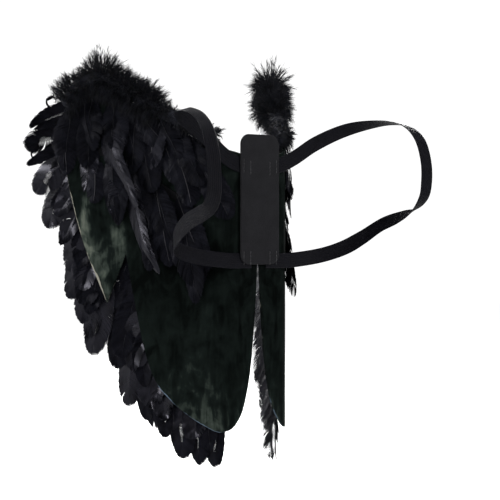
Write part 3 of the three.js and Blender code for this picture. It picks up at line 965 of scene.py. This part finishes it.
def wisps(centres, normals, half_width):
    """Closed strands that end in a point: their points and faces."""
    across, facing = strand_ways(centres, normals)
    wide = half_width[..., None]
    lifted = centres + facing * wide * DOWN_DEPTH_RATIO
    corners = np.stack([centres - across * wide, centres + across * wide, lifted], axis=2)
    count, stations = centres.shape[:2]
    points = np.concatenate([corners[:, :-1].reshape(count, -1, 3), centres[:, -1:]], axis=1)
    first = np.arange(count) * points.shape[1]
    last = first + (stations - 2) * CORNERS
    rings = (first[:, None] + CORNERS * np.arange(stations - 2)).ravel()
    ends = [np.stack([last + a, last + b, last + CORNERS], 1) for a, b in STRAND_EDGES]
    ends.append(np.stack([first + 2, first + 1, first], 1))
    return points.reshape(-1, 3), [strand_sides(rings), np.concatenate(ends)]


def boa_down(rng):
    """Barbs and stems of all the plumes, as wisps."""
    fine = np.linspace(0, 1, CROWD_STEPS)
    crowd = LEAST_CROWD + np.interp(boa_places(fine)[0][:, 0], *PLUME_REACHES.T) / FULL_REACH
    even = (np.arange(PLUME_COUNT) + rng.uniform(0, 1, PLUME_COUNT)) / PLUME_COUNT
    boa_share = np.interp(even, np.cumsum(crowd) / crowd.sum(), fine)
    centre, run, rise = boa_places(boa_share)
    turn = PLUME_SPREAD * rng.uniform(-1, 1, PLUME_COUNT)
    radial = rise * np.cos(turn)[:, None] + PROUD_WAY * np.sin(turn)[:, None]
    hang = rising(np.abs(turn), HANG_FROM, HANG_FULL - HANG_FROM)
    lean = rng.normal(0, PLUME_LEAN, PLUME_COUNT) - INNER_LEAN * rising(-boa_share, -INNER_END, INNER_END)
    lifted = OUTER_LIFT * rising(boa_share, LIFT_FROM, OUTER_RUN) * (1 - hang)
    stem_way = unit(radial + run * lean[:, None] + DOWN_WAY * (HANG_PULL * hang - lifted)[:, None])
    reach = np.interp(centre[:, 0], *PLUME_REACHES.T)
    hanging = np.minimum(reach, HANG_REACH)
    stem_length = hanging + (reach - hanging) * np.clip(np.cos(turn), 0, 1)
    stem_length = stem_length * rng.uniform(*STEM_VARIETY, PLUME_COUNT)
    stem_length = stem_length * (1 - OUTER_TRIM * hang * rising(boa_share, TRIM_FROM, OUTER_RUN))
    strays = rng.uniform(0, 1, PLUME_COUNT) < STRAY_SHARE
    stem_length = stem_length + strays * STRAY_REACH * (1 - hang)
    sag = (STEM_SAG + HANG_SAG * hang)[:, None]
    start = centre + radial * CORE_RADIUS * STEM_FOOT

    def stem_at(share):
        length = stem_length[:, None] + CORE_RADIUS * (1 - STEM_FOOT)
        return (start[:, None] + stem_way[:, None] * (length * share)[..., None]
                + DOWN_WAY * (sag * share ** 2)[..., None])

    def as_wisps(lines, taper):
        normals = rng.normal(0, 1, (len(lines), 1, 3)) * np.ones((1, len(taper), 1))
        return wisps(placed(lines), normals, taper * np.ones((len(lines), 1)) * DOWN_HALF_WIDTH * MM)

    stems = stem_at(np.broadcast_to(STEM_STATIONS, (PLUME_COUNT, len(STEM_STATIONS))))
    barb_share = rng.uniform(BARBS_FROM, 1, (PLUME_COUNT, PLUME_BARBS))
    foot = stem_at(barb_share)
    onward = unit(stem_at(barb_share + STEP_ON) - foot)
    aside = rng.normal(0, 1, foot.shape)
    aside = unit(aside - onward * (aside * onward).sum(-1, keepdims=True))
    opening = np.radians(rng.uniform(*BARB_OPENING, barb_share.shape))[..., None]
    way = onward * np.cos(opening) + aside * np.sin(opening)
    long = DOWN_LENGTH[0] + (DOWN_LENGTH[1] - DOWN_LENGTH[0]) * barb_share
    long = long * np.clip(LEAST_DOWN + reach / FULL_REACH, 0, 1)[:, None]
    long = (long * rng.uniform(*DOWN_VARIETY, barb_share.shape))[..., None, None]
    bending = onward * BEND_ON + DOWN_WAY * BEND_DOWN + rng.normal(0, BEND_STRAY, foot.shape)
    along = DOWN_STATIONS[:, None]
    barbs = foot[..., None, :] + long * (way[..., None, :] * along + bending[..., None, :] * along ** 2)
    return [as_wisps(barbs.reshape(-1, len(DOWN_STATIONS), 3), DOWN_TAPER), as_wisps(stems, STEM_TAPER)]


def marabou_down():
    material, tree, surface = new_surface("marabou_down")
    tuft = spread(noise(position(tree), scale=90.0, detail=3.0), NOISE_MOST)
    set_inputs(surface, {
        "Base Color": blend_colours(tuft, DOWN_BLACK, DOWN_CHARCOAL),
        "Roughness": spread(tuft, (0.0, 1.0), DOWN_ROUGHNESS),
        "Specular IOR Level": DOWN_GLOSS,
    })
    return material


down_dye = marabou_down()
for side_name, side in WING_SIDES.items():
    core = boa_core()
    down = boa_down(np.random.default_rng([BOA_SEED, side + 1]))
    parts = [(core.reshape(-1, 3), loft(core)), *down]
    points, faces, measures, uses = joined([(*part, 0) for part in parts])
    boa = make_piece(f"marabou_boa_{side_name}", side, points, faces, measures, [down_dye], uses)
    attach(boa, "root")
    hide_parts(f"boa_{side_name}")

# Shoulder straps: flat black elastic with fine ribs along it, one loop for each shoulder.
# Both ends are caught between the back panel and the board's flap, and sewn through the panel.
STRAP_WIDTH = 20
STRAP_THICKNESS = 1.5
STRAP_STEPS = 180
STRAP_POINTS_ACROSS = 37
STRAP_RIB_PITCH = 2.86
STRAP_RIB_DEPTH = 0.26
# How squarely the band's edges are rounded, and the least that is left of its thickness there, squared
STRAP_ROUNDING = 8
STRAP_EDGE_LEFT = 0.02
STRAP_SHARP_ANGLE = math.radians(50)
# Columns: the middle of the right strap in millimetres, and the direction that its outer face looks
STRAP_ROUTE = np.array([
    (-12, 3.45, 40, 0, 1, 0), (-26, 3.45, 43.5, 0, 1, 0), (-40, 3.45, 47.5, 0, 1, 0),
    (-60, 1.2, 57, 0, 1, 0.05), (-90, -5, 76, -0.15, 0.97, 0.15), (-130, -20, 95, -0.3, 0.8, 0.5),
    (-157, -43, 103, -0.25, 0.45, 0.85), (-169, -68, 104, -0.2, 0.05, 0.98),
    (-173, -97, 97, -0.1, -0.5, 0.86), (-174, -118, 80, 0, -0.88, 0.46), (-174, -130, 50, 0, -0.99, 0.1),
    (-173, -132, 22, 0, -1, 0), (-171, -129, 3, -0.12, -0.98, -0.12), (-167, -116, -13, -0.4, -0.85, -0.34),
    (-163, -93, -22, -0.75, -0.6, -0.28), (-160, -60, -32, -0.96, -0.2, -0.18),
    (-154, -28, -49, -0.97, 0.2, -0.1), (-142, -7, -62, -0.7, 0.7, 0), (-112, 2, -72, -0.12, 0.99, 0),
    (-60, 2.6, -79, 0, 1, 0), (-40, 3.45, -80, 0, 1, 0), (-26, 3.45, -80, 0, 1, 0), (-12, 3.45, -80, 0, 1, 0),
])
ELASTIC_BLACK = (0.0020, 0.0020, 0.0031)
ELASTIC_GREY = (0.0056, 0.0056, 0.0082)
WEAVE_PITCH = 1.1
WEAVE_RELIEF = 0.12
WEAVE_LIGHTENS = (0.1, 0.5)
WEAR_LIGHTENS = 0.4
ELASTIC_ROUGHNESS = (0.4, 0.52)
ELASTIC_GLOSS = 0.05


def strap_mesh():
    """Rings round the ribbed band along its route, with how far along and across each point lies."""
    places = np.linspace(0, len(STRAP_ROUTE) - 1, STRAP_STEPS)
    middle = curve_through(STRAP_ROUTE[:, :3], places)
    run = unit(np.gradient(middle, axis=0))
    facing = curve_through(STRAP_ROUTE[:, 3:], places)
    facing = unit(facing - run * (facing * run).sum(1, keepdims=True))
    across = np.cross(facing, run)
    share = np.linspace(-1, 1, STRAP_POINTS_ACROSS)
    ribs = STRAP_RIB_DEPTH * (0.5 - 0.5 * np.cos(np.pi * STRAP_WIDTH / STRAP_RIB_PITCH * share))
    rounding = np.sqrt(np.maximum(1 - share ** STRAP_ROUNDING, STRAP_EDGE_LEFT))
    half_thick = (STRAP_THICKNESS / 2 - ribs) * rounding
    section_side = np.concatenate([share, share[::-1]]) * STRAP_WIDTH / 2
    section_face = np.concatenate([-half_thick, half_thick[::-1]])
    rings = (middle[:, None] + across[:, None] * section_side[None, :, None]
             + facing[:, None] * section_face[None, :, None])
    measures = {
        "strap_run": np.repeat(distances_along(middle), len(section_side)),
        "strap_across": np.tile(section_side, STRAP_STEPS),
    }
    return rings * MM, measures


def wave(tree, label, pitch):
    """A wave from -1 to 1 along a named measure."""
    turns = combine("MULTIPLY", measure(tree, label), 2 * math.pi / pitch)
    return combine("SINE", turns, 0.0)


def ribbed_elastic():
    material, tree, surface = new_surface("ribbed_elastic")
    picks, cords = (wave(tree, label, WEAVE_PITCH) for label in ("strap_run", "strap_across"))
    weave = combine("MULTIPLY", picks, cords)
    worn = spread(noise(position(tree), scale=70.0, detail=4.0), NOISE_MOST)
    shade = combine("ADD", spread(weave, (-1.0, 1.0), WEAVE_LIGHTENS),
                    combine("MULTIPLY", worn, WEAR_LIGHTENS))
    set_inputs(surface, {
        "Base Color": blend_colours(shade, ELASTIC_BLACK, ELASTIC_GREY),
        "Roughness": spread(worn, (0.0, 1.0), ELASTIC_ROUGHNESS),
        "Specular IOR Level": ELASTIC_GLOSS,
    })
    raise_surface(surface, weave, WEAVE_RELIEF)
    return material


elastic = ribbed_elastic()
for side_name, side in WING_SIDES.items():
    rings, measures = strap_mesh()
    strap = make_piece(f"elastic_strap_{side_name}", side, rings, loft(rings), measures, [elastic])
    strap.data.shade_smooth()
    strap.data.set_sharp_from_angle(angle=STRAP_SHARP_ANGLE)
    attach(strap, "root")
    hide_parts(f"strap_{side_name}")

# Back panel: a rounded patch of thick black felt in the middle, which joins the two boards.
# The ends of the straps are sewn to it by two rows of stitches each, whose thread shows on its front.
PANEL_WIDTH = 64
PANEL_HEIGHT = 170
PANEL_THICKNESS = 2.4
PANEL_CORNER = 14
PANEL_CORNER_STEPS = 12
LEAST_CORNER = 2
# Columns: how far in from the outline, and how deep behind the front face, for one face's rings
PANEL_EDGE = [(0, 1.2), (0.15, 0.6), (0.5, 0.2), (1.1, 0.03), (2.2, 0), (7, 0), (16, 0), (25, 0)]
STITCH_LENGTH = 3.6
STITCH_PITCH = 4.6
STITCHES_PER_ROW = 4
STITCH_STATIONS = np.linspace(-0.5, 0.5, 6)
STITCH_BOW = 0.45
STITCH_SLANT = 0.25
STITCH_SUNK = 0.1
THREAD_RADIUS = 0.35
# Columns: how far beside the middle, and how high, each side's rows of stitches are
STITCH_ROWS = [(16, 41), (27, 43.5), (16, -76.5), (27, -76.5)]
FELT_BLACK = (0.0045, 0.0045, 0.0055)
FELT_GREY = (0.0120, 0.0120, 0.0140)
# How much the fibres and the pressing lighten the felt
FIBRES_LIGHTEN = 0.7
PRESSING_LIGHTENS = 0.3
FELT_ROUGHNESS = (0.85, 0.98)
FELT_GLOSS = 0.12
FELT_SHEEN = 0.03
FELT_RELIEF = 0.5
THREAD_BLACK = (0.012, 0.012, 0.014)
THREAD_GREY = (0.03, 0.03, 0.034)


def panel_ring(inset, depth):
    """Points round the panel at an inset from its outline."""
    corner = max(PANEL_CORNER - inset, LEAST_CORNER)
    turn = np.linspace(0, np.pi / 2, PANEL_CORNER_STEPS)
    middle_x, middle_z = PANEL_WIDTH / 2 - inset - corner, PANEL_HEIGHT / 2 - inset - corner
    ring = []
    for quarter, (sign_x, sign_z) in enumerate([(1, 1), (-1, 1), (-1, -1), (1, -1)]):
        around = turn + quarter * np.pi / 2
        ring.append(np.stack([sign_x * middle_x + corner * np.cos(around), np.full(len(turn), depth),
                              sign_z * middle_z + corner * np.sin(around)], axis=1))
    return np.concatenate(ring)


def panel_rings():
    """Rings from the middle of the panel's front face round its edge to the middle of its back."""
    front = [panel_ring(inset, depth) for inset, depth in PANEL_EDGE[::-1]]
    back = [panel_ring(inset, PANEL_THICKNESS - depth) for inset, depth in PANEL_EDGE[1:]]
    return np.array(front + back) * MM


def panel_stitches():
    """Short thread strands on the panel's front face."""
    bow = STITCH_BOW * (1 - (2 * STITCH_STATIONS) ** 2)
    lines = []
    for side in (-1, 1):
        for beside, height in STITCH_ROWS:
            for number in range(STITCHES_PER_ROW):
                middle = height + (number - (STITCHES_PER_ROW - 1) / 2) * STITCH_PITCH
                x = side * beside + STITCH_SLANT * STITCH_STATIONS
                lines.append(np.stack([x, STITCH_SUNK - bow, middle + STITCH_LENGTH * STITCH_STATIONS], 1))
    centres = np.array(lines) * MM
    normals = np.broadcast_to(np.array([0, -1.0, 0]), centres.shape)
    size = np.full(centres.shape[:2], THREAD_RADIUS * MM)
    return strands(centres, normals, size, size)


def black_felt():
    material, tree, surface = new_surface("black_felt")
    place = position(tree)
    fibres = noise(place, scale=700.0, detail=5.0)
    pressed = spread(noise(place, scale=45.0, detail=3.0), NOISE_MOST)
    shade = weigh(fibres, FIBRES_LIGHTEN, pressed, PRESSING_LIGHTENS)
    set_inputs(surface, {
        "Base Color": blend_colours(shade, FELT_BLACK, FELT_GREY),
        "Roughness": spread(fibres, NOISE_MOST, FELT_ROUGHNESS),
        "Specular IOR Level": FELT_GLOSS,
        "Sheen Weight": FELT_SHEEN,
    })
    raise_surface(surface, fibres, FELT_RELIEF)
    return material


rings = panel_rings()
panel = make_piece("felt_back_panel", 1, rings, loft(rings), {}, [black_felt()])
panel.data.shade_smooth()
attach(panel, "root")
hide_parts("back_panel")
stitch_points, stitch_faces = panel_stitches()
thread = spun_cotton("sewing_thread", THREAD_BLACK, THREAD_GREY,
                     scale=2500.0, roughness=0.5, gloss=0.5, relief=0.1)
stitches = make_piece("panel_stitches", 1, stitch_points, stitch_faces, {}, [thread])
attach(stitches, "root")

# Studio: a white floor under the wings, a white surround and soft boxes,
# with the camera level with the middle of the wings, in front of them and on the right wing's side.
FLOOR_DROP = 0.08
FLOOR_RADIUS = 9.0
FLOOR_SIDES = 96
FLOOR_GREY = (0.55, 0.55, 0.55)
FLOOR_PALE = (0.60, 0.60, 0.60)
FLOOR_ROUGHNESS = 0.9
FLOOR_GLOW = 0.9
CAMERA_AZIMUTH = math.radians(-38)
CAMERA_TARGET = (-0.0470, -0.0383, -0.066)
CAMERA_DISTANCE = 2.0
CAMERA_LENS = 113.4
CAMERA_SENSOR = 36
# Columns: name, place, target, size, watts
SOFT_BOXES = [
    ("key_box", (1.2, -2.6, 1.9), (-0.05, 0.05, -0.05), 0.7, 80),
    ("side_box", (-1.86, -1.59, 0.96), (-0.1, 0.1, -0.05), 0.7, 24),
    ("top_box", (0.0, 0.4, 2.3), (0.0, 0.1, 0.0), 0.8, 50),
    ("rear_left_box", (2.3, 1.5, 0.9), (0.0, 0.1, 0.0), 0.9, 70),
    ("rear_right_box", (-2.3, 1.5, 0.9), (0.0, 0.1, 0.0), 0.9, 70),
    ("back_box", (0.0, 2.6, 1.1), (0.0, 0.1, -0.05), 0.9, 110),
]
SURROUND_LIGHT = 0.16
SURROUND_SHOWN = 1.1
WHITE = (1, 1, 1, 1)


def only_shown(tree):
    """1 for what is seen straight, 0 for what lights the wings."""
    return tree.nodes.new("ShaderNodeLightPath").outputs["Is Camera Ray"]


def white_floor():
    material, tree, surface = new_surface("white_floor_paint")
    scuffs = noise(position(tree), scale=2.0)
    set_inputs(surface, {
        "Base Color": blend_colours(scuffs, FLOOR_GREY, FLOOR_PALE),
        "Roughness": FLOOR_ROUGHNESS,
        "Emission Color": WHITE,
        "Emission Strength": combine("MULTIPLY", only_shown(tree), FLOOR_GLOW),
    })
    return material


floor_mesh = bpy.data.meshes.new("studio_floor")
floor_turn = np.linspace(0, 2 * np.pi, FLOOR_SIDES, endpoint=False)
floor_height = cad_box[0].z - FLOOR_DROP
floor_rim = [(FLOOR_RADIUS * math.cos(turn), FLOOR_RADIUS * math.sin(turn), floor_height)
             for turn in floor_turn]
floor_mesh.from_pydata(floor_rim, [], [list(range(len(floor_rim)))])
floor_mesh.materials.append(white_floor())
floor = bpy.data.objects.new("studio_floor", floor_mesh)
bpy.context.scene.collection.objects.link(floor)
floor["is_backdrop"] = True

surround = bpy.data.worlds.new("white_surround")
surround.use_nodes = True
sky = surround.node_tree
lighting = sky.nodes["Background"]
set_inputs(lighting, {"Color": WHITE, "Strength": SURROUND_LIGHT})
shown = add_node(sky, "Background", {"Color": WHITE, "Strength": SURROUND_SHOWN})
either = add_node(sky, "MixShader", {0: only_shown(sky), 1: lighting.outputs[0], 2: shown.outputs[0]})
sky.links.new(either.outputs[0], sky.nodes["World Output"].inputs["Surface"])
bpy.context.scene.world = surround

for name, place, target, size, watts in SOFT_BOXES:
    light = bpy.data.lights.new(name, "AREA")
    light.energy = watts
    light.size = size
    box = bpy.data.objects.new(name, light)
    box.location = place
    aim = Vector(target) - Vector(place)
    box.rotation_euler = aim.to_track_quat("-Z", "Y").to_euler()
    bpy.context.scene.collection.objects.link(box)

camera_data = bpy.data.cameras.new("photo_camera")
camera_data.lens = CAMERA_LENS
camera_data.sensor_width = CAMERA_SENSOR
camera = bpy.data.objects.new("photo_camera", camera_data)
looking = Vector((-math.sin(CAMERA_AZIMUTH), math.cos(CAMERA_AZIMUTH), 0))
camera.location = Vector(CAMERA_TARGET) - looking * CAMERA_DISTANCE
camera.rotation_euler = (math.pi / 2, 0, CAMERA_AZIMUTH)
bpy.context.scene.collection.objects.link(camera)
bpy.context.scene.camera = camera
bpy.context.scene.view_settings.view_transform = "Standard"

size = {"cad": [list(corner) for corner in cad_box], "visual": [list(corner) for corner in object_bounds()]}
